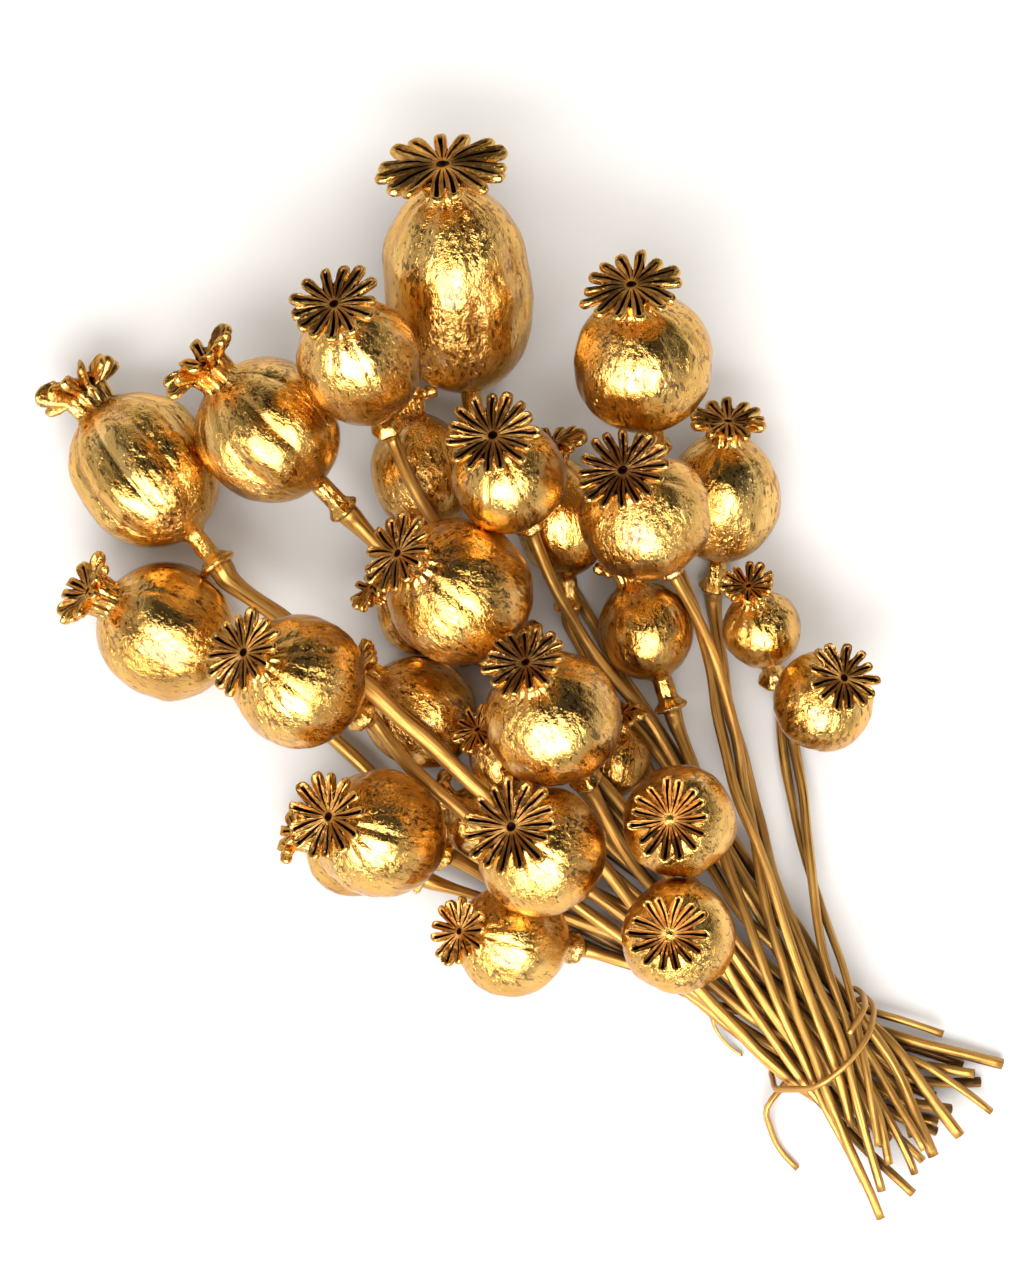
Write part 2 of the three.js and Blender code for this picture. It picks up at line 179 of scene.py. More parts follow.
# %% Smooth noise over many points at once
noise_values = np.random.default_rng(7).uniform(-1, 1, 4096)
noise_strides = np.array([1, 57, 977])    # how far apart neighbouring corners are in the table
seed_step = 17.3                          # how far each seed moves the points through the noise


def cloud(points, size, seed=0):
    """Smooth noise from about -1 to 1 at each point. size is how wide one lump of it is."""
    scaled = points / size + seed * seed_step
    cell = np.floor(scaled).astype(int)
    part = scaled - cell
    part = part * part * (3 - 2 * part)
    total = np.zeros(len(points))
    for corner in itertools.product((0, 1), repeat=3):
        share = np.prod(np.where(corner, part, 1 - part), axis=1)
        total += share * noise_values[(cell + corner) @ noise_strides % len(noise_values)]
    return total


def ramp(values, start, end):
    """0 before start and 1 after end, with a smooth rise between."""
    t = np.clip((values - start) / (end - start), 0, 1)
    return t * t * (3 - 2 * t)


def bump(values, middle, width):
    """A round bump of height 1 at the middle."""
    return np.exp(-(((values - middle) / width) ** 2))


probe = np.random.default_rng(1).uniform(0, 50, (2000, 3))
print("noise runs from", round(cloud(probe, 5).min(), 2), "to", round(cloud(probe, 5).max(), 2))

# %% [markdown]
# ## A seed head's outline
# A poppy head is turned round its stalk's line, so half of its outline, spun a full turn, is the
# starting shape. From the bottom up: a knuckle where it meets the stem, a thin stipe, the swollen
# capsule, a short neck, the underside of the crown, its rolled edge, and its top down to the hub. Each
# point also carries a station, a number that says which part it belongs to and how far along it is. The
# capsule's stretch is a formula, so one number can swell it from an onion to a barrel.

# %% Outline of a head
FOOT, BODY, UNDER, RIM, TOP = range(5)    # the whole part of a station is one of these
stipe_radius = 2.6
usual_knuckle = 4.4                       # radius of the ring under a capsule
waist = 0.28                              # the neck's radius, as a share of the capsule's
body_rings = 50
under_rings = 9
top_rings = 17
crown_below = 2.3                         # the crown's middle lies this far under the head's peak


def fillet(a, b, power):
    """The larger of two radii, with a soft hollow where they cross."""
    return (a ** power + b ** power) ** (1 / power)


def head_outline(head, fullness, slope, knuckle_radius):
    """(radius, height, station) from the knuckle up to the hub, in millimetres from the belly."""
    radius, crown = head["radius"], head["crown"]
    bottom = -head["below"] + 1.5
    top = head["above"] - crown_below
    neck = 3 + 0.22 * radius
    half = top - neck + 0.8
    low_half = -bottom - (4 + 0.33 * radius)
    # The foot: closed end, knuckle and stipe.
    foot = [(head["stem"], bottom - 1.2), (0.86 * knuckle_radius, bottom - 0.9),
            (knuckle_radius, bottom - 0.2), (0.97 * knuckle_radius, bottom + 0.5),
            (0.8 * knuckle_radius, bottom + 1.2), (0.66 * knuckle_radius, bottom + 2)]
    points = [(r, z, FOOT + 0.1 * i) for i, (r, z) in enumerate(foot)]
    # The capsule, from the stipe up to the neck.
    start, end = bottom + 2.8, top - 1.2
    for i in range(body_rings):
        t = i / (body_rings - 1)
        z = start + (end - start) * t
        share = min(1, abs(z) / (half if z > 0 else low_half))
        power = 1 + 0.5 * fullness if z > 0 else fullness
        swell = radius * (1 - share ** power) ** (1 / 2)
        if z > 0:
            flare = max(0, (z - (half - 1)) / (end - half + 1))
            thin = waist * radius + (0.5 * crown - waist * radius) * flare ** 2
            thin *= min(1, z / (0.5 * half))
        else:
            thin = stipe_radius * (1 + 0.12 * t)
        points.append((fillet(swell, thin, slope if z > 0 else 4), z, BODY + 0.99 * t))
    # The crown's underside, edge and top.
    for i in range(1, under_rings + 1):
        t = i / under_rings
        reach = 0.5 * crown + (0.97 - 0.5) * crown * t
        points.append((reach, top - 1.05 + 0.35 * t, UNDER + 0.99 * t))
    points += [(crown, top - 0.35, RIM + 0.1), (crown, top + 0.1, RIM + 0.5)]
    for i in range(top_rings):
        t = 1 - i / (top_rings - 1)
        reach = crown * (0.06 + 0.91 * t)
        points.append((reach, top + 0.45, TOP + 0.99 * t))
    return points


sample = head_outline(heads[9], 2, 4, usual_knuckle)
print("outline points:", len(sample), "from", round(sample[0][1], 1), "to", round(sample[-1][1], 1), "mm")

# %% [markdown]
# ## Shaping the crown
# The crown is a star of rays. Each ray is a lobe with rolled-up sides, a raised seam down its middle and
# a slit in that seam, and between two lobes there is a notch. A spun head has sixteen columns of points
# to a ray, so column 0 is always the slit and column 8 always the notch, and a short table of heights
# and reaches for the columns between them shapes every lobe alike. Each lobe is then lifted, turned and
# shortened a little by its own random amounts. Modelling one lobe and copying it round would leave a
# seam between lobes to close, and moving the spun points doesn't.

# %% Crown tables
columns_per_ray = 16
column = np.arange(9)                     # 0 is a lobe's middle, 8 is the notch beside it
lobe_height = np.array([-0.95, -0.70, 0.46, 0.10, -0.06, 0.08, 0.58, 0.10, -1.6])
lobe_reach = np.array([1.0, 1.0, 0.995, 0.98, 0.955, 0.91, 0.84, 0.72, 0.60])
lobe_turn = np.array([0, 1.25, 2.2, 3.0, 3.8, 4.55, 5.2, 5.75, 8])
# shade columns: near 1 is painted shade in slit and notch, middle is worn bronze, near 0 is gold
lobe_shade = np.array([1.0, 1.0, 0.08, 0.24, 0.30, 0.30, 0.02, 0.45, 1.0])
lobe_inner_shade = np.array([1.0, 1.0, 0.62, 0.04, 0.26, 0.28, 0.20, 0.38, 0.56])


def ray_columns(angles, rays):
    """For each angle: its lobe's number, the side of the lobe it is on, and its column there."""
    place = angles / (2 * math.pi) * rays
    lobe = np.floor(place + 0.5)
    offset = (place - lobe) * columns_per_ray
    return lobe.astype(int) % rays, np.sign(offset), np.abs(offset)


print("columns to a ray:", columns_per_ray, "and heights in half a lobe's table:", len(lobe_height))

# %% [markdown]
# ## What differs from head to head
# No two capsules on a plant are alike, so each head takes its own numbers where it differs from a plain
# one. fullness: 2 is a round capsule and more is a barrel. slope: a low number draws the capsule out
# into a long neck. panels: how many broad sides it has, or 0 for one to each ray, and flutes: how deep
# the folds between them are. notch: how deep the crown is cut. lift: how far the lobes rise, and wild:
# how unlike each other they are. dish: how hollow the crown is. hub: how far its middle stands up, or
# sinks. knuckle: the radius of the ring under the capsule. dark: how far the leaf on the crown has worn
# down to brown.

# %% Looks of the heads
plain_look = {"fullness": 2.05, "slope": 4, "flutes": 0.04, "panels": 0, "notch": 1.15, "lift": 0.3,
              "wild": 1.0, "dish": 0.4, "hub": -1.1, "knuckle": usual_knuckle, "dark": 0.35}
own_looks = {
    1: {"fullness": 2.7, "flutes": 0.34, "panels": 8, "notch": 1.25, "dish": -1.6, "dark": 0.3},
    2: {"flutes": 0.22, "panels": 9, "dark": 0.45},
    3: {"fullness": 2.3, "flutes": 0.2, "panels": 7, "dark": 0.3, "dish": -0.8},
    4: {"slope": 1.9, "flutes": 0.75, "panels": 10, "notch": 1.45, "lift": 2.6, "wild": 2.6, "dish": 0.6,
        "dark": 0.1, "knuckle": 5.4},
    5: {"slope": 1.9, "flutes": 0.55, "panels": 9, "notch": 1.25, "lift": 2.0, "wild": 1.7, "dark": 0.3},
    6: {"slope": 3, "dark": 0.7},
    7: {"flutes": 0.12, "panels": 8, "dark": 0.4},
    8: {"flutes": 0.2, "panels": 7, "dark": 0.9},
    9: {"slope": 3, "notch": 1.25, "flutes": 0.08, "dark": 0.6},
    10: {"slope": 2.4, "flutes": 0.3, "panels": 8, "lift": 1.4, "dark": 0.3},
    11: {"slope": 3, "flutes": 0.12, "dark": 0.4},
    12: {"flutes": 0.15, "panels": 8, "dark": 0.85},
    15: {"slope": 3, "flutes": 0.2, "lift": 0.8, "dark": 0.3},
    18: {"flutes": 0.12, "panels": 6, "lift": 0.8, "hub": 0.5},
    20: {"flutes": 0.12, "panels": 6, "lift": 0.8, "hub": 0.5},
    24: {"dark": 0.9},
}
looks = {number: {**plain_look, **own_looks.get(number, {})} for number in heads}
print("heads with a look of their own:", len(own_looks))

# %% [markdown]
# ## Growing one head
# bmesh's spin turns the outline round and welds its two ends together. The caps at the knuckle and the
# hub are closed by filling each end's ring and drawing it to a point in its middle. Spinning leaves
# points that are easy to find again, which a sculpted or remeshed head wouldn't.

# %% Spin the outline
def spun_head(head, look):
    """The turned starting shape, with its stations."""
    form = bmesh.new()
    station = form.verts.layers.float.new("station")
    outline = head_outline(head, look["fullness"], look["slope"], look["knuckle"])
    verts = []
    for radius, height, part in outline:
        vert = form.verts.new((radius, 0, height))
        vert[station] = part
        verts.append(vert)
    edges = [form.edges.new(pair) for pair in zip(verts, verts[1:])]
    steps = head["rays"] * columns_per_ray
    bmesh.ops.spin(form, geom=verts + edges, cent=(0, 0, 0), axis=(0, 0, 1), angle=2 * math.pi,
                   steps=steps, use_merge=True)
    open_edges = [edge for edge in form.edges if edge.is_boundary]
    filled = bmesh.ops.holes_fill(form, edges=open_edges, sides=0)["faces"]
    middles = bmesh.ops.poke(form, faces=filled)["verts"]
    for vert in middles:
        vert[station] = TOP if vert.co.z > 0 else FOOT
        vert.co.z += look["hub"] if vert.co.z > 0 else 0
    bmesh.ops.recalc_face_normals(form, faces=form.faces)
    return form, station


trial, _ = spun_head(heads[9], looks[9])
print("points on one spun head:", len(trial.verts))
trial.free()

# %% [markdown]
# ## Shaping the capsule
# A dried capsule has a seam for every ray or so, shallow folds between the seams, pleats where its skin
# gathers under the crown, and lumps and creases all over. They are too big for a bump in the finish,
# which would leave the outline a perfect curve, so they move the points outwards or inwards. Each part
# fades in and out along the head by the points' stations.

# %% Shape the capsule
lump_depth, fold_depth, crease_depth = 0.42, 0.24, 0.08       # in mm, as all the depths here
seam_depth = 0.05                         # for a head with no flutes
flute_depth = 0.6                         # for a head whose flutes are 1
pleat_depth = 0.28
foot_lumps, foot_ribs = 0.22, 0.12
most_drift, drift_size = 0.4, 14          # how far the capsule strays from its line, and how quickly
crease_stretch = [1, 1, 0.55]             # creases run longer along the head than across it


def shape_body(place, part, angles, rays, look, seed):
    """Moves the points of the foot and capsule, and returns the painted shade of its seams, creases and
    pleats.
    """
    reach = np.hypot(place[:, 0], place[:, 1])
    outward = np.stack([np.cos(angles), np.sin(angles), np.zeros(len(angles))], axis=1)
    belly = ramp(part, BODY + 0.12, BODY + 0.4) * (1 - ramp(part, BODY + 0.93, BODY + 1.0))
    offset = ray_columns(angles, look["panels"] or rays)[2]
    wander = 1.2 * cloud(place, 9, seed + 3)
    seam = bump(offset + wander, 8, 1.1) + 0.3 * bump(offset + wander, 0, 1.2)
    flute = np.cos(2 * math.pi * (offset + wander) / columns_per_ray)
    soft = place * crease_stretch
    crease = 1 - np.abs(cloud(soft, 2.6, seed) + 0.5 * cloud(soft, 1.3, seed + 1)) * 2
    fold = 1 - np.abs(cloud(soft, 6.5, seed + 14) + 0.3 * cloud(soft, 3, seed + 15)) * 2
    lump = cloud(place, 9, seed + 5) + 0.5 * cloud(place, 5, seed + 6)
    depth = look["flutes"]
    move = belly * (lump_depth * lump - (seam_depth + flute_depth * depth) * seam
                    + flute_depth * depth * flute + crease_depth * np.clip(crease, -0.6, 1)
                    + fold_depth * np.clip(fold, -0.5, 1))
    # Pleats under the crown, one to each ray.
    gather = ramp(part, BODY + 0.72, BODY + 0.97) * (1 - ramp(part, UNDER + 0.3, UNDER + 0.6))
    pleat = np.cos(2 * math.pi * ray_columns(angles, rays)[2] / columns_per_ray)
    move += gather * pleat_depth * pleat
    # A rough knuckle and stipe.
    foot = 1 - ramp(part, BODY + 0.08, BODY + 0.2)
    move += foot * (foot_lumps * cloud(place, 2.6, seed + 8) + foot_ribs * np.cos(7 * angles + seed))
    move *= np.clip(reach / 3, 0, 1)
    place += outward * move[:, None]
    height = place * [0, 0, 1]
    drift = np.stack([cloud(height, drift_size, seed + 9), cloud(height, drift_size, seed + 11)], axis=1)
    place[:, :2] += (belly * most_drift)[:, None] * drift
    # Painted shade: the seams, the creases and the pleats' valleys are darkened in the finish.
    shade_and_wear = belly * (0.8 * seam * depth + 0.2 * np.clip(-crease, 0, 1))
    return shade_and_wear + 0.4 * gather * (pleat < -0.5)


print("a capsule's lumps, folds and creases, in mm:", lump_depth, fold_depth, crease_depth)

# %% [markdown]
# ## Cutting the crown into lobes
# The crown leaves the spin as a plain round plate. Near its edge every column of points is drawn to its
# own reach and angle, which opens the notches, and then its height is set from the tables: rolled
# sides, a seam with a slit in it, and a keel underneath. Toward the hub it all fades, so that the lobes
# run together. Cutting the notches out with a boolean would give the same outline but ragged edges.

# %% Shape the crown
shortest_lobe, longest_lobe = 0.89, 1.04  # as a share of the crown's reach
most_swing = 0.16                         # how far a lobe turns aside, as a share of a ray's angle
keel_depth, tip_roll = 0.7, 0.75          # in mm
grain_height, grain_size = 0.18, 1.4      # the fine roughness of the crown's top


def shape_crown(place, part, angles, head, look, seed):
    """Moves the crown's points into lobes; returns painted shade of slits, notches and hub, and worn
    flats.
    """
    chance = np.random.default_rng(seed)
    rays, crown = head["rays"], head["crown"]
    on_crown = part >= UNDER
    top_side = part >= RIM
    reach = np.hypot(place[:, 0], place[:, 1])
    share = np.clip(reach / crown, 0, 1)
    lobe, side, offset = ray_columns(angles, rays)
    outer = ramp(share, 0.45, 0.97)
    pitch = 2 * math.pi / rays
    # Outline: every column has its own reach, and leans towards its lobe's middle near the edge.
    lobe_length = chance.uniform(shortest_lobe, longest_lobe, rays)[lobe]
    reaches = np.interp(offset, column, lobe_reach * look["notch"] + (1 - look["notch"]))
    new_reach = reach * (1 + (reaches * lobe_length - 1) * ramp(share, 0.12, 0.75))
    lean = np.interp(offset, column, lobe_turn) / columns_per_ray * side * pitch
    straight = offset / columns_per_ray * side * pitch
    swing = (chance.uniform(-most_swing, most_swing, rays) * pitch)[lobe] * (1 - (offset / 8) ** 4)
    new_angle = angles - straight + straight * (1 - outer) + lean * outer + swing * ramp(share, 0.4, 1)
    # Heights: rolled sides, seam and slit on the top, and a keel under each lobe.
    scale = 0.45 + crown / 22
    fade = ramp(share, 0.08, 0.4)
    tip = ramp(share, 0.87, 0.94)
    relief = np.interp(offset, column, lobe_height)
    rolled = np.where(offset < 6, tip_roll, relief)
    relief *= np.where(offset > 6.5, 0.3 + 0.7 * outer, 1)
    relief = relief * (1 - tip) + rolled * tip
    relief *= scale * fade * (1 - 0.75 * ramp(share, 0.955, 1.0))
    keel = -keel_depth * bump(offset, 0, 3.2) * ramp(share, 0.55, 0.8) * (1 - ramp(share, 0.93, 1))
    lift = look["wild"] * chance.uniform(-0.8, 1.1, rays)[lobe] + look["lift"]
    lobe_tilt = look["wild"] * chance.uniform(-0.9, 0.9, rays)[lobe] * side * offset / 8
    bend = ramp(share, 0.3, 1.05) ** 1.4
    dish = look["dish"] * (share ** 2 - 0.5)
    height = np.where(top_side, relief, keel) + bend * (lift + lobe_tilt) + dish
    height += grain_height * cloud(place, grain_size, seed) * top_side
    notch_shade = bump(offset, 8, 0.8) * ramp(share, 0.2, 0.4)
    place[:, 0] = np.where(on_crown, new_reach * np.cos(new_angle), place[:, 0])
    place[:, 1] = np.where(on_crown, new_reach * np.sin(new_angle), place[:, 1])
    place[:, 2] += np.where(on_crown, height, 0)
    # Shade: how dark the finish makes each point, from the same columns. Near 1 it is painted shade in the
    # slits, the notches and the hub's pit, and in between it is worn bronze on the flats.
    shade = np.interp(offset, column, lobe_shade) * outer
    shade += np.interp(offset, column, lobe_inner_shade) * (1 - outer)
    shade = shade * ramp(share, 0.05, 0.25) * (1 - 0.9 * tip * (offset < 7))
    shade = np.maximum(shade, bump(share, 0, 0.12) * (look["hub"] < 0))
    # Under the crown, painted shade darkens the notches.
    return np.where(part >= TOP, shade, 0.35 * notch_shade * on_crown)


print("shortest and longest lobe, as a share of the crown's reach:", shortest_lobe, longest_lobe)

# %% [markdown]
# ## A finished head
# Three numbers are kept on each point for the finish to read: how much painted shade it gets in its
# seams, creases, slits and notches, and on the crown's flats how worn to bronze it is; how much it
# belongs to the crown; and where it lies on the unturned head, which lets streaks run along the capsule
# however the head lies. A fourth says how dark the whole crown is. Attributes on the points do this
# without any image, and they go with the mesh wherever it goes. Whatever would sink into the floor is
# pressed flat on it.

# %% Grow one head
grain_spacing = 0.1                       # how far apart two heads lie in the pattern, in metres


def rest_on_floor(mesh):
    """Flattens whatever would reach below the floor, as lying on it would."""
    spots = np.empty(3 * len(mesh.vertices), np.float32)
    mesh.vertices.foreach_get("co", spots)
    spots[2::3] = np.maximum(spots[2::3], 0)
    mesh.vertices.foreach_set("co", spots)


def grow_head(number, look):
    """One finished seed head, in the place of its solid."""
    head = heads[number]
    form, station = spun_head(head, look)
    place = np.array([vert.co for vert in form.verts])
    part = np.array([vert[station] for vert in form.verts])
    angles = np.arctan2(place[:, 1], place[:, 0]) % (2 * math.pi)
    unturned = place.copy()
    shade_and_wear = shape_body(place, part, angles, head["rays"], look, 20 * number)
    shade_and_wear = np.clip(shade_and_wear + shape_crown(place, part, angles, head, look, 20 * number), 0, 1)
    crown_mask = np.where(part >= TOP, 1, 0.45 * (part >= RIM))
    for vert, spot in zip(form.verts, place):
        vert.co = spot
    mesh = bpy.data.meshes.new(f"gilded_head_{number:02d}")
    form.to_mesh(mesh)
    form.free()
    mesh.transform(head["place"] @ Matrix.Scale(mm, 4))
    rest_on_floor(mesh)
    mesh.shade_smooth()
    for name, values in (("shade_and_wear", shade_and_wear), ("crown", crown_mask)):
        mesh.attributes.new(name, "FLOAT", "POINT").data.foreach_set("value", values.astype(np.float32))
    grain = unturned * mm + np.array([grain_spacing * number, 0, 0])
    mesh.attributes.new("grain", "FLOAT_VECTOR", "POINT").data.foreach_set(
        "vector", grain.astype(np.float32).ravel())
    return mesh


print("heads lie this far apart in the pattern:", grain_spacing, "m")

# %% Grow all the heads
body_pieces = {}
for number in heads:
    piece = bpy.data.objects.new(f"gilded_head_{number:02d}", grow_head(number, looks[number]))
    bpy.context.scene.collection.objects.link(piece)
    dark = np.full(len(piece.data.vertices), looks[number]["dark"], np.float32)
    piece.data.attributes.new("dark", "FLOAT", "POINT").data.foreach_set("value", dark)
    body_pieces[number] = piece
faces = sum(len(piece.data.polygons) for piece in body_pieces.values())
print("heads grown:", len(body_pieces), "with", faces, "faces")

# %% [markdown]
# ## Stems
# A dried poppy stem is a thin, slightly flattened tube with fine ridges along it, and it bends in an easy
# curve. A curve with a bevel would be quicker to make, but it has one round section all the way. Here a
# circle is extruded once for every ring, and the rings are then laid along a smooth line through the
# middles that were read from the solid, so each ring can have its own shape. The frame that carries a
# ring is passed on from the ring before, so the tube doesn't twist.

# %% Smooth lines
no_stems_way = [0.3, 0.2, 1]              # a direction that no piece starts along


def smooth_line(points, steps):
    """A smooth line through all of the points, with so many steps from each one to the next."""
    p = np.array(points)
    p = np.vstack([2 * p[0] - p[1], p, 2 * p[-1] - p[-2]])
    t = (np.arange(steps) / steps)[:, None]
    spans = []
    for a, b, c, d in zip(p, p[1:], p[2:], p[3:]):
        spans.append(0.5 * (2 * b + (c - a) * t + (2 * a - 5 * b + 4 * c - d) * t ** 2
                            + (3 * b - a - 3 * c + d) * t ** 3))
    return np.vstack(spans + [p[-2][None]])


def distance_along(line):
    """How far along the line each of its points is."""
    return np.concatenate([[0], np.cumsum(np.linalg.norm(np.diff(line, axis=0), axis=1))])


def carried_frames(line):
    """Two directions across the line at each of its points, passed on without twisting."""
    along = np.gradient(line, axis=0)
    along /= np.linalg.norm(along, axis=1)[:, None]
    across = np.cross(along[0], no_stems_way)
    sides = []
    for direction in along:
        across = across - direction * (across @ direction)
        across /= np.linalg.norm(across)
        sides.append((across, np.cross(direction, across)))
    return sides


longest = max(distance_along(np.array(line))[-1] for line, radius in stem_lines.values())
print("longest stem:", round(longest / mm), "mm")

# %% [markdown]
# Where stems lie close together, little light reaches in between them, so that side of a stem gets
# painted shade in brown. So each point of a stem needs to know which way its neighbours are. Counting
# the other stems' points around it is enough, and far quicker than casting rays.

# %% Neighbours
crowd_reach = 7 * mm                      # other stems' points nearer than this crowd a stem
crowd_full = 12                           # and this many of them are a full crowd


def neighbour_pull(line, others):
    """At each point of a line, the way towards the other stems that lie close, and how many there are."""
    gaps = others[None] - line[:, None]
    near = np.linalg.norm(gaps, axis=2) < crowd_reach
    crowd = near.sum(axis=1)
    pull = (gaps * near[:, :, None]).sum(axis=1) / np.maximum(crowd, 1)[:, None] / crowd_reach
    return pull, np.minimum(1, crowd / crowd_full)


print("a stem is crowded by what lies within", round(crowd_reach / mm), "mm")

# %% [markdown]
# The tube's ends are filled. The cut end is then inset twice and its middle pushed in, so that it shows
# the stem's wall and its hollow. The far end is hidden inside a head's knuckle, and stays plain.

# %% Tube builder
lump_circle, lump_stretch = 2.2, 9        # lumps are laid on a tube this wide, this much longer than wide
wide_lumps, short_lumps = 0.10, 0.07      # as shares of the tube's radius
ovalness, oval_turn = 0.06, 60            # how flat a tube is, and the mm in which that turns
wall, rim, hollow_depth = 0.3, 0.05, 0.9  # a cut end, as shares of its radius
pattern_radius = 1.5 * mm                 # every tube's pattern is laid on a tube this wide


def grow_tube(name, line, radii, sides, number, ribs, hollow_end, others):
    """A closed tube along a line, with ridges along it and, if asked, a hollow cut end."""
    form = bmesh.new()
    around = form.verts.layers.float.new("around")
    between_stems_shade = form.verts.layers.float.new("between_stems_shade")
    distance = form.verts.layers.float.new("distance")
    bmesh.ops.create_circle(form, segments=sides, radius=1)
    ring = sorted(form.verts, key=lambda vert: math.atan2(vert.co.y, vert.co.x))
    rings = [ring]
    edges = list(form.edges)
    for _ in line[1:]:
        new = bmesh.ops.extrude_edge_only(form, edges=edges)["geom"]
        verts = [item for item in new if isinstance(item, bmesh.types.BMVert)]
        edges = [item for item in new if isinstance(item, bmesh.types.BMEdge)
                 and all(vert in verts for vert in item.verts)]
        rings.append(sorted(verts, key=lambda vert: math.atan2(vert.co.y, vert.co.x)))
    travelled = distance_along(line)
    angles = 2 * math.pi * np.arange(sides) / sides
    pull, crowd = neighbour_pull(line, others)
    for k, (ring, (side, other)) in enumerate(zip(rings, carried_frames(line))):
        height = 0 * angles + travelled[k] / mm / lump_stretch
        spots = np.stack([lump_circle * np.cos(angles), lump_circle * np.sin(angles), height], axis=1)
        swell = 1 + wide_lumps * cloud(spots, 1.6, number)
        swell += short_lumps * cloud(spots * [0, 0, 1], 0.9, number)
        swell += ribs * np.cos(5 * angles + 0.4 * number)
        swell *= 1 + ovalness * np.cos(2 * angles + travelled[k] / mm / oval_turn + number)
        reach = radii[k] * swell
        spots = line[k] + np.outer(reach * np.cos(angles), side) + np.outer(reach * np.sin(angles), other)
        # Painted shade: the side of a ring that faces crowding neighbours is darkened.
        facing = (spots - line[k]) @ pull[k] / radii[k]
        gap_shade_amount = np.clip(crowd[k] * (0.35 + 3 * facing), 0, 1)
        for vert, spot, angle, depth in zip(ring, spots, angles, gap_shade_amount):
            vert.co = spot
            vert[around], vert[distance], vert[between_stems_shade] = angle, travelled[k], depth
    caps = bmesh.ops.holes_fill(form, edges=[edge for edge in form.edges if edge.is_boundary],
                                sides=0)["faces"]
    if hollow_end:
        cut = min(caps, key=lambda face: (face.calc_center_median() - Vector(line[-1])).length)
        bmesh.ops.inset_region(form, faces=[cut], thickness=wall * radii[-1], use_even_offset=True)
        bmesh.ops.inset_region(form, faces=[cut], thickness=rim * radii[-1])
        inward = Vector(line[-2] - line[-1]).normalized() * hollow_depth * radii[-1]
        bmesh.ops.translate(form, verts=cut.verts, vec=inward)
    bmesh.ops.recalc_face_normals(form, faces=form.faces)
    unrolled = [(pattern_radius * math.cos(vert[around]) + grain_spacing * number,
                 pattern_radius * math.sin(vert[around]), vert[distance]) for vert in form.verts]
    gap_shade_values = np.array([vert[between_stems_shade] for vert in form.verts], np.float32)
    mesh = bpy.data.meshes.new(name)
    form.to_mesh(mesh)
    form.free()
    rest_on_floor(mesh)
    mesh.shade_smooth()
    mesh.attributes.new("grain", "FLOAT_VECTOR", "POINT").data.foreach_set(
        "vector", np.array(unrolled, np.float32).ravel())
    mesh.attributes["between_stems_shade"].data.foreach_set("value", gap_shade_values)
    piece = bpy.data.objects.new(name, mesh)
    bpy.context.scene.collection.objects.link(piece)
    return piece


print("a cut end's wall, as a share of its radius:", wall)

# %% [markdown]
# A real stem is widest just under its head and thinner at the cut, and it strays a little from any
# smooth curve. All the lines are laid first, because a stem's painted shade depends on its neighbours,
# and the tubes are grown after that.

# %% Stems
rings_per_span = 5                        # rings between two middles of the solid's own
tuck = 1.6 * mm                           # how far a stem reaches into its head's knuckle
flare, flare_length = 0.5, 12             # how much wider a stem starts, and over how many millimetres
slimmer = 0.26                            # how much thinner it is at its cut end
most_sway, sway_size = 0.7 * mm, 16       # how far its line strays, and how far apart its bends are
stem_sides, stem_ribs = 14, 0.035

laid_stems = {}
for number, (middles, radius) in stem_lines.items():
    line = smooth_line(middles, rings_per_span)
    line[0] += (line[0] - line[1]) / np.linalg.norm(line[0] - line[1]) * tuck
    travelled = distance_along(line) / mm
    slimming = ramp(travelled, 0, 0.75 * travelled[-1])
    radii = radius * (1.0 + flare * (1 - ramp(travelled, 0, flare_length)) - slimmer * slimming)
    spots = np.outer(travelled, [1, 0, 0])
    sway = np.stack([cloud(spots, sway_size, 50 * number + axis) for axis in range(3)], 1)
    line = line + sway * [1, 1, 0.4] * most_sway * ramp(travelled, 10, 40)[:, None]
    laid_stems[number] = (line, radii)

stem_pieces = {}
for number, (line, radii) in laid_stems.items():
    others = np.vstack([other for key, (other, _) in laid_stems.items() if key != number])
    stem_pieces[number] = grow_tube(f"gilded_stem_{number:02d}", line, radii, stem_sides, number,
                                    stem_ribs, True, others)
thickest = max(radius for middles, radius in stem_lines.values())
print("stems grown:", len(stem_pieces), "thickest radius:", round(thickest / mm, 1), "mm")

# %% [markdown]
# ## The binding strand and the loose fibre
# One dry strand holds the bunch, and a loose fibre curls out of it. They are dry plant fibres too, so
# the stems' builder grows them as well, without a hollow end. The strand is read from the low end of its
# solid, and the fibre from its high end. Both are thinner than a stem, so fewer sides are enough.

# %% Strand and fibre
nothing_near = np.full((1, 3), 9.0)       # far away from every piece
fibre_thinning = 0.35                     # how much thinner the fibre is at its far end
thin_sides, thin_ribs = 10, 0.05
strand_middles, strand_radius = read_tube("tie_strand", lambda place: place.y)
strand_line = smooth_line(strand_middles, 3)
strand_radii = np.full(len(strand_line), strand_radius)
strand_piece = grow_tube("binding_strand", strand_line, strand_radii, thin_sides, 40, thin_ribs, False,
                         nothing_near)
fibre_middles, fibre_radius = read_tube("loose_fibre", lambda place: -place.y)
fibre_line = smooth_line(fibre_middles, 8)
fibre_radii = fibre_radius * (1 - fibre_thinning * np.linspace(0, 1, len(fibre_line)))
fibre_piece = grow_tube("curled_fibre", fibre_line, fibre_radii, thin_sides, 41, thin_ribs, False,
                        nothing_near)
strand_length = distance_along(strand_line)[-1]
print("strand:", round(strand_length / mm), "mm long,", round(2 * strand_radius / mm, 1), "mm thick")

# %% [markdown]
# ## Finishes
# Every finish here is a tree of nodes on one shader. The same few nodes come up again and again: noise
# on the piece's own pattern, a colour ramp, a mix of two colours. A short helper for each keeps a finish
# readable from top to bottom.

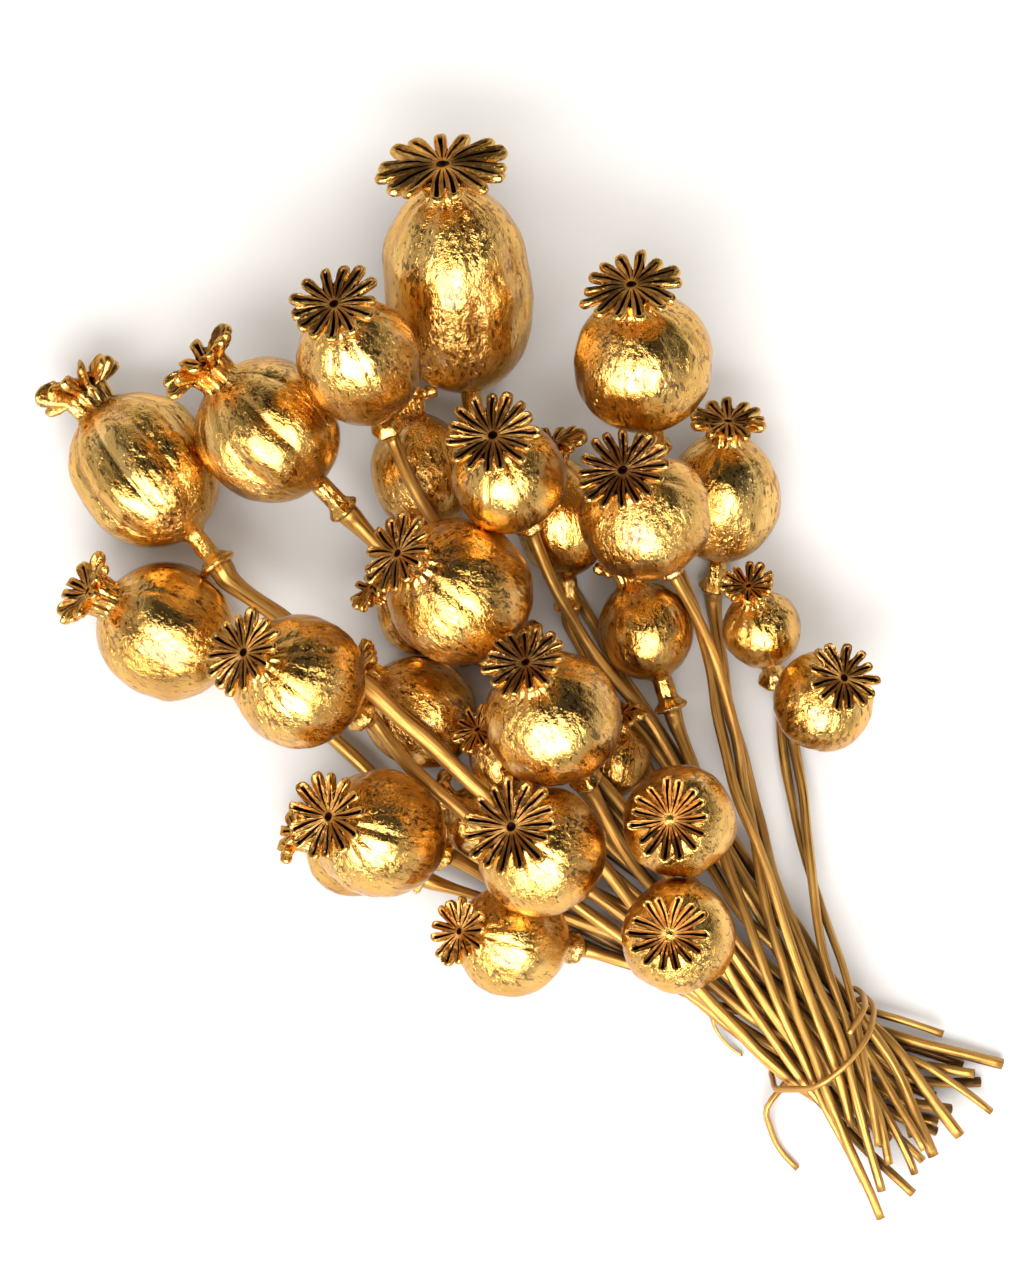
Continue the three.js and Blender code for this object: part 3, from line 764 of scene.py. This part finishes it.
# %% Node helpers
def new_finish(name):
    """A material with its shader, and a short way to add nodes to it."""
    finish = bpy.data.materials.new(name)
    finish.use_nodes = True
    tree = finish.node_tree
    shader = tree.nodes["Principled BSDF"]

    def add(kind, inputs=(), **settings):
        node = tree.nodes.new(kind)
        for key, value in settings.items():
            setattr(node, key, value)
        for socket, value in dict(inputs).items():
            if isinstance(value, bpy.types.NodeSocket):
                tree.links.new(value, node.inputs[socket])
            else:
                node.inputs[socket].default_value = value
        return node

    return finish, tree, shader, add


def kept(add, name):
    """The value of one of the numbers that are kept on a mesh's points."""
    return add("ShaderNodeAttribute", attribute_name=name, attribute_type="GEOMETRY")


def noise(add, vector, scale, detail=4.0, roughness=0.55, stretch=(1, 1, 1), distortion=0.0):
    """Noise on a pattern's own coordinates, which may be stretched. scale is in lumps to a metre."""
    mapped = add("ShaderNodeMapping", {"Vector": vector, "Scale": stretch})
    return add("ShaderNodeTexNoise", {"Vector": mapped.outputs[0], "Scale": scale, "Detail": detail,
                                      "Roughness": roughness, "Distortion": distortion}).outputs["Fac"]


def steps(add, value, stops):
    """A colour ramp. stops are (position, colour or grey) from low to high."""
    node = add("ShaderNodeValToRGB", {"Fac": value})
    ramp_stops = node.color_ramp.elements
    while len(ramp_stops) < len(stops):
        ramp_stops.new(0.5)
    for element, (position, colour) in zip(ramp_stops, stops):
        element.position = position
        element.color = (*colour, 1) if isinstance(colour, tuple) else (colour, colour, colour, 1)
    return node.outputs["Color"]


def mix(add, factor, a, b, blend="MIX"):
    node = add("ShaderNodeMix", data_type="RGBA", blend_type=blend)
    tree = node.id_data
    for socket, value in ((node.inputs["Factor"], factor), (node.inputs[6], a), (node.inputs[7], b)):
        if isinstance(value, bpy.types.NodeSocket):
            tree.links.new(value, socket)
        elif isinstance(value, tuple):
            socket.default_value = (*value, 1)
        else:
            socket.default_value = value
    return node.outputs[2]


def math_node(add, operation, a, b=0.0):
    return add("ShaderNodeMath", {0: a, 1: b}, operation=operation).outputs[0]


print("helpers:", [helper.__name__ for helper in (new_finish, kept, noise, steps, mix, math_node)])

# %% [markdown]
# ## Gold leaf's colours
# Gold leaf is metal, so its colour is all in its reflections. It is never even: the leaf is pale where
# it lies smooth, more orange where it is thin, and it has specks where it never stuck. On a crown it has
# worn down to bronze, and its slits, notches and hub are painted brown-black as shade; a capsule's
# seams and creases get painted shade too. Painting these by hand would need an image, and noise
# doesn't. Every pattern is laid on the unturned head, through the attribute kept for it, so the
# streaks run from the crown to the stem on every head.

# %% Gold leaf's colours
bare_shell = (0.16, 0.07, 0.02)           # where the leaf never stuck
# the brown of the painted shade in a capsule's seams, creases and pleats
fold_shade_brown = (0.42, 0.18, 0.04)
# the brown-black of the painted shade in slits, notches and the hub's pit
slit_shade_black = (0.012, 0.005, 0.002)
bronze, worn_bronze, rubbed_bronze = (0.64, 0.275, 0.055), (0.31, 0.095, 0.022), (0.74, 0.41, 0.13)
worn_leaf = (0.50, 0.27, 0.10)
leaf_stops = [(0.30, (0.53, 0.285, 0.06)), (0.45, (0.69, 0.40, 0.09)),
              (0.60, (0.79, 0.49, 0.135)), (0.75, (0.86, 0.59, 0.22))]


def capsule_colours(add, grain, shade_and_wear):
    """The leaf's own colour, and a capsule's colour with its specks and painted shade in seams and folds.
    """
    patches = noise(add, grain, 90, 4, 0.6, (1, 1, 0.6), 0.6)
    leaf = steps(add, patches, leaf_stops)
    # Specks and short streaks where the leaf never stuck.
    specks = noise(add, grain, 900, 3, 0.6, (1, 1, 0.38), 0.4)
    where = noise(add, grain, 130, 2, 0.5, (1, 1, 0.7))
    specks = math_node(add, "ADD", specks, math_node(add, "MULTIPLY", where, 0.42))
    speck_mask = steps(add, specks, [(0.785, 0.0), (0.83, 1.0)])
    colour = mix(add, math_node(add, "MULTIPLY", speck_mask, 0.8), leaf, bare_shell)
    # Painted shade darkens the seams, creases and pleats towards brown.
    return leaf, mix(add, math_node(add, "MULTIPLY", shade_and_wear, 0.45), colour, fold_shade_brown)


def crown_colours(add, grain, shade_and_wear, dark, leaf):
    """Bronze flats, painted shade in brown-black slits, notches and hub, and gold on what stands up."""
    grime = noise(add, grain, 700, 3, 0.6)
    flats = mix(add, dark, bronze, worn_bronze)
    flats = mix(add, steps(add, grime, [(0.42, 0.0), (0.68, 0.5)]), flats, rubbed_bronze)
    rubbed = steps(add, shade_and_wear, [(0.08, 0.0), (0.36, 1.0)])
    crown_leaf = mix(add, math_node(add, "MULTIPLY", dark, 0.5), leaf, worn_leaf)
    colour = mix(add, rubbed, crown_leaf, flats)
    # Painted shade: the slits, the notches and the hub's pit are darkened to brown-black.
    slit = steps(add, shade_and_wear, [(0.44, 0.0), (0.58, 1.0)])
    return mix(add, slit, colour, slit_shade_black)


print("shades of leaf:", len(leaf_stops))

# %% [markdown]
# ## Gold leaf's gloss and creases
# Smooth leaf shines and crinkled leaf doesn't, and a thin clear coat adds the hard glint of the varnish
# on a capsule. Its creases are finer than the mesh, so they are bumps laid on each other: broad dents,
# then crinkles across the capsule, then the finest wrinkles. The crinkles are strong in some patches and
# weak in others, because an even sparkle looks like sand.

# %% Gold leaf
coat_tint = (0.80, 0.56, 0.34, 1)


def leaf_roughness(add, grain, shade_and_wear, crown):
    smooth = noise(add, grain, 160, 4, 0.6, (1, 1, 0.6))
    rough = steps(add, smooth, [(0.30, 0.10), (0.55, 0.16), (0.75, 0.28)])
    crown_rough = steps(add, shade_and_wear, [(0.05, 0.20), (0.36, 0.42)])
    return mix(add, crown, rough, crown_rough)


def leaf_creases(add, grain):
    dents = noise(add, grain, 220, 2, 0.5, (1, 1, 0.7), 0.3)
    crinkle = noise(add, grain, 620, 3, 0.6, (1, 1, 0.6), 1.2)
    fold = math_node(add, "ABSOLUTE", math_node(add, "SUBTRACT", crinkle, 0.5))
    fine = noise(add, grain, 1700, 2, 0.6, (1, 1, 0.6), 0.8)
    crinkled = steps(add, noise(add, grain, 75, 2, 0.5, (1, 1, 0.7)), [(0.40, 0.14), (0.60, 0.75)])
    first = add("ShaderNodeBump", {"Height": dents, "Strength": 0.6, "Distance": 0.0008})
    second = add("ShaderNodeBump", {"Height": fold, "Strength": crinkled, "Distance": 0.0009,
                                    "Normal": first.outputs[0]})
    third = add("ShaderNodeBump", {"Height": fine, "Strength": 0.6, "Distance": 0.0002,
                                   "Normal": second.outputs[0]})
    return third.outputs[0]


def gold_leaf():
    finish, tree, shader, add = new_finish("gold_leaf")
    grain = kept(add, "grain").outputs["Vector"]
    shade_and_wear = kept(add, "shade_and_wear").outputs["Fac"]
    crown = kept(add, "crown").outputs["Fac"]
    dark = kept(add, "dark").outputs["Fac"]
    leaf, colour = capsule_colours(add, grain, shade_and_wear)
    colour = mix(add, crown, colour, crown_colours(add, grain, shade_and_wear, dark, leaf))
    tree.links.new(colour, shader.inputs["Base Color"])
    shader.inputs["Metallic"].default_value = 1.0
    shader.inputs["Specular Tint"].default_value = coat_tint
    tree.links.new(steps(add, crown, [(0.2, 0.6), (0.8, 0.04)]), shader.inputs["Coat Weight"])
    shader.inputs["Coat Roughness"].default_value = 0.14
    tree.links.new(leaf_roughness(add, grain, shade_and_wear, crown), shader.inputs["Roughness"])
    tree.links.new(leaf_creases(add, grain), shader.inputs["Normal"])
    return finish


finishes = {"gold_leaf": gold_leaf()}
print("gold leaf has", len(finishes["gold_leaf"].node_tree.nodes), "nodes")

# %% [markdown]
# ## Gilded stems
# The stems and the strand have a dull gold paint over dry fibres. Fine lines run along them, with brown
# showing in between, and the paint has worn in patches. The lines are noise stretched nearly thirty
# times along the tube, on the pattern that was unrolled with it, so they follow every bend. A wood
# texture's bands would be too even.

# %% Gilded stem
# the brown of the painted shade between stems
gap_shade_brown = (0.055, 0.02, 0.004)


def gilded_stem(name, colours):
    """Dull gold paint over dry fibres. colours are the brown between its lines, the paint and its best."""
    finish, tree, shader, add = new_finish(name)
    grain = kept(add, "grain").outputs["Vector"]
    lines = noise(add, grain, 1500, 3, 0.6, (1, 1, 0.035), 0.2)
    patches = noise(add, grain, 260, 3, 0.6, (1, 1, 0.25))
    colour = steps(add, lines, [(0.32, colours[0]), (0.46, colours[1]), (0.70, colours[2])])
    worn = steps(add, patches, [(0.40, 0.0), (0.70, 0.55)])
    colour = mix(add, worn, colour, colours[1])
    # Painted shade: in between the stems, where little light gets in, they are darkened to brown.
    gap_shade_mask = kept(add, "between_stems_shade").outputs["Fac"]
    colour = mix(add, math_node(add, "MULTIPLY", gap_shade_mask, 0.92), colour, gap_shade_brown)
    tree.links.new(colour, shader.inputs["Base Color"])
    shader.inputs["Metallic"].default_value = 0.75
    rough = steps(add, patches, [(0.3, 0.30), (0.7, 0.48)])
    tree.links.new(rough, shader.inputs["Roughness"])
    first = add("ShaderNodeBump", {"Height": lines, "Strength": 0.5, "Distance": 0.0004})
    second = add("ShaderNodeBump", {"Height": patches, "Strength": 0.3, "Distance": 0.0006,
                                    "Normal": first.outputs[0]})
    tree.links.new(second.outputs[0], shader.inputs["Normal"])
    return finish


stem_colours = [(0.09, 0.035, 0.005), (0.44, 0.22, 0.045), (0.70, 0.41, 0.11)]
strand_colours = [(0.12, 0.045, 0.01), (0.47, 0.24, 0.055), (0.70, 0.41, 0.12)]
finishes["gilded_stem"] = gilded_stem("gilded_stem", stem_colours)
finishes["strand"] = gilded_stem("strand", strand_colours)
print("finishes:", sorted(finishes))

# %% [markdown]
# ## Putting the pieces on the frame
# The tied bunch moves as one, so every piece rides on its one body. Each also stands for its solid, which
# is then hidden, and says which finish it takes.

# %% Ride, replace and finish
def put(piece, node, finish):
    piece.data.materials.append(finishes[finish])
    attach(piece, "root")
    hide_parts(node)


for number in heads:
    put(body_pieces[number], f"seed_head_{number:02d}", "gold_leaf")
    put(stem_pieces[number], f"stem_{number:02d}", "gilded_stem")
put(strand_piece, "tie_strand", "strand")
put(fibre_piece, "loose_fibre", "strand")
print("pieces on the frame:", 2 * len(heads) + 2)

# %% [markdown]
# ## The floor
# The bunch lies on a plain pale floor. One large square of matt paint is all it needs. It doesn't shine,
# since a glossy floor would mirror the heads.

# %% Floor
floor_reach = 6                           # from the middle to each side, in metres
floor_grey = (0.52, 0.52, 0.52, 1)
floor_form = bmesh.new()
bmesh.ops.create_grid(floor_form, x_segments=1, y_segments=1, size=floor_reach)
floor_mesh = bpy.data.meshes.new("floor")
floor_form.to_mesh(floor_mesh)
floor_form.free()
floor = bpy.data.objects.new("floor", floor_mesh)
bpy.context.scene.collection.objects.link(floor)
floor_paint, _, floor_shader, _ = new_finish("pale_floor")
floor_shader.inputs["Base Color"].default_value = floor_grey
floor_shader.inputs["Roughness"].default_value = 0.9
floor_shader.inputs["Specular IOR Level"].default_value = 0.0
floor_mesh.materials.append(floor_paint)
print("floor:", 2 * floor_reach, "m wide")

# %% [markdown]
# ## Lamps and sky
# Gold shows the room around it, so the room matters as much as the metal. A large soft lamp stands on
# the near side. It makes the broad pale highlight on each capsule and the shadows that fall away from
# it. A second lamp overhead lifts the shadows on the floor, and reflections don't show it. The sky is
# pale grey, with a round dark patch high on the far side, so a brown band crosses each capsule above its
# highlight. An image of a room would do the same, but one lamp and one ramp are easier to adjust.

# %% Lamps and sky
def soft_lamp(name, place, aim, size, power, colour):
    """A rectangular lamp, aimed. size is its two sides in metres, and power is in watts."""
    lamp = bpy.data.objects.new(name, bpy.data.lights.new(name, "AREA"))
    lamp.data.shape = "RECTANGLE"
    lamp.data.size, lamp.data.size_y = size
    lamp.data.energy = power
    lamp.data.color = colour
    lamp.location = place
    lamp.rotation_mode = "QUATERNION"
    lamp.rotation_quaternion = (Vector(aim) - Vector(place)).to_track_quat("-Z", "Y")
    bpy.context.scene.collection.objects.link(lamp)
    return lamp


bunch_middle = (0, 0, 0)
soft_lamp("near_lamp", (-0.2, -1.1, 1.6), bunch_middle, (2.0, 1.4), 88, (1, 0.98, 0.96))
fill = soft_lamp("overhead_fill", (0.3, 0.9, 2.2), bunch_middle, (2.6, 2.2), 70, (1, 0.94, 0.87))
fill.visible_glossy = False               # it lifts the shadows on the floor and leaves the metal alone

world = bpy.data.worlds.new("room")
bpy.context.scene.world = world
world.use_nodes = True
sky = world.node_tree
direction = sky.nodes.new("ShaderNodeTexCoord").outputs["Generated"]
dark_middle = Vector((0.25, 0.55, 0.85)).normalized()
toward_dark = sky.nodes.new("ShaderNodeVectorMath")
toward_dark.operation = "DOT_PRODUCT"
toward_dark.inputs[1].default_value = dark_middle
sky.links.new(direction, toward_dark.inputs[0])
gradient = sky.nodes.new("ShaderNodeValToRGB")
sky.links.new(toward_dark.outputs["Value"], gradient.inputs["Fac"])
sky_stops = [(0.0, 0.62), (0.40, 0.62), (0.54, 0.42), (0.68, 0.11), (1.0, 0.06)]
while len(gradient.color_ramp.elements) < len(sky_stops):
    gradient.color_ramp.elements.new(0.5)
for element, (position, grey) in zip(gradient.color_ramp.elements, sky_stops):
    element.position = position
    element.color = (grey, grey, grey, 1)
background = sky.nodes["Background"]
sky.links.new(gradient.outputs["Color"], background.inputs["Color"])
background.inputs["Strength"].default_value = 1.0
bpy.context.scene.view_settings.view_transform = "Standard"
bpy.context.scene.view_settings.look = "None"
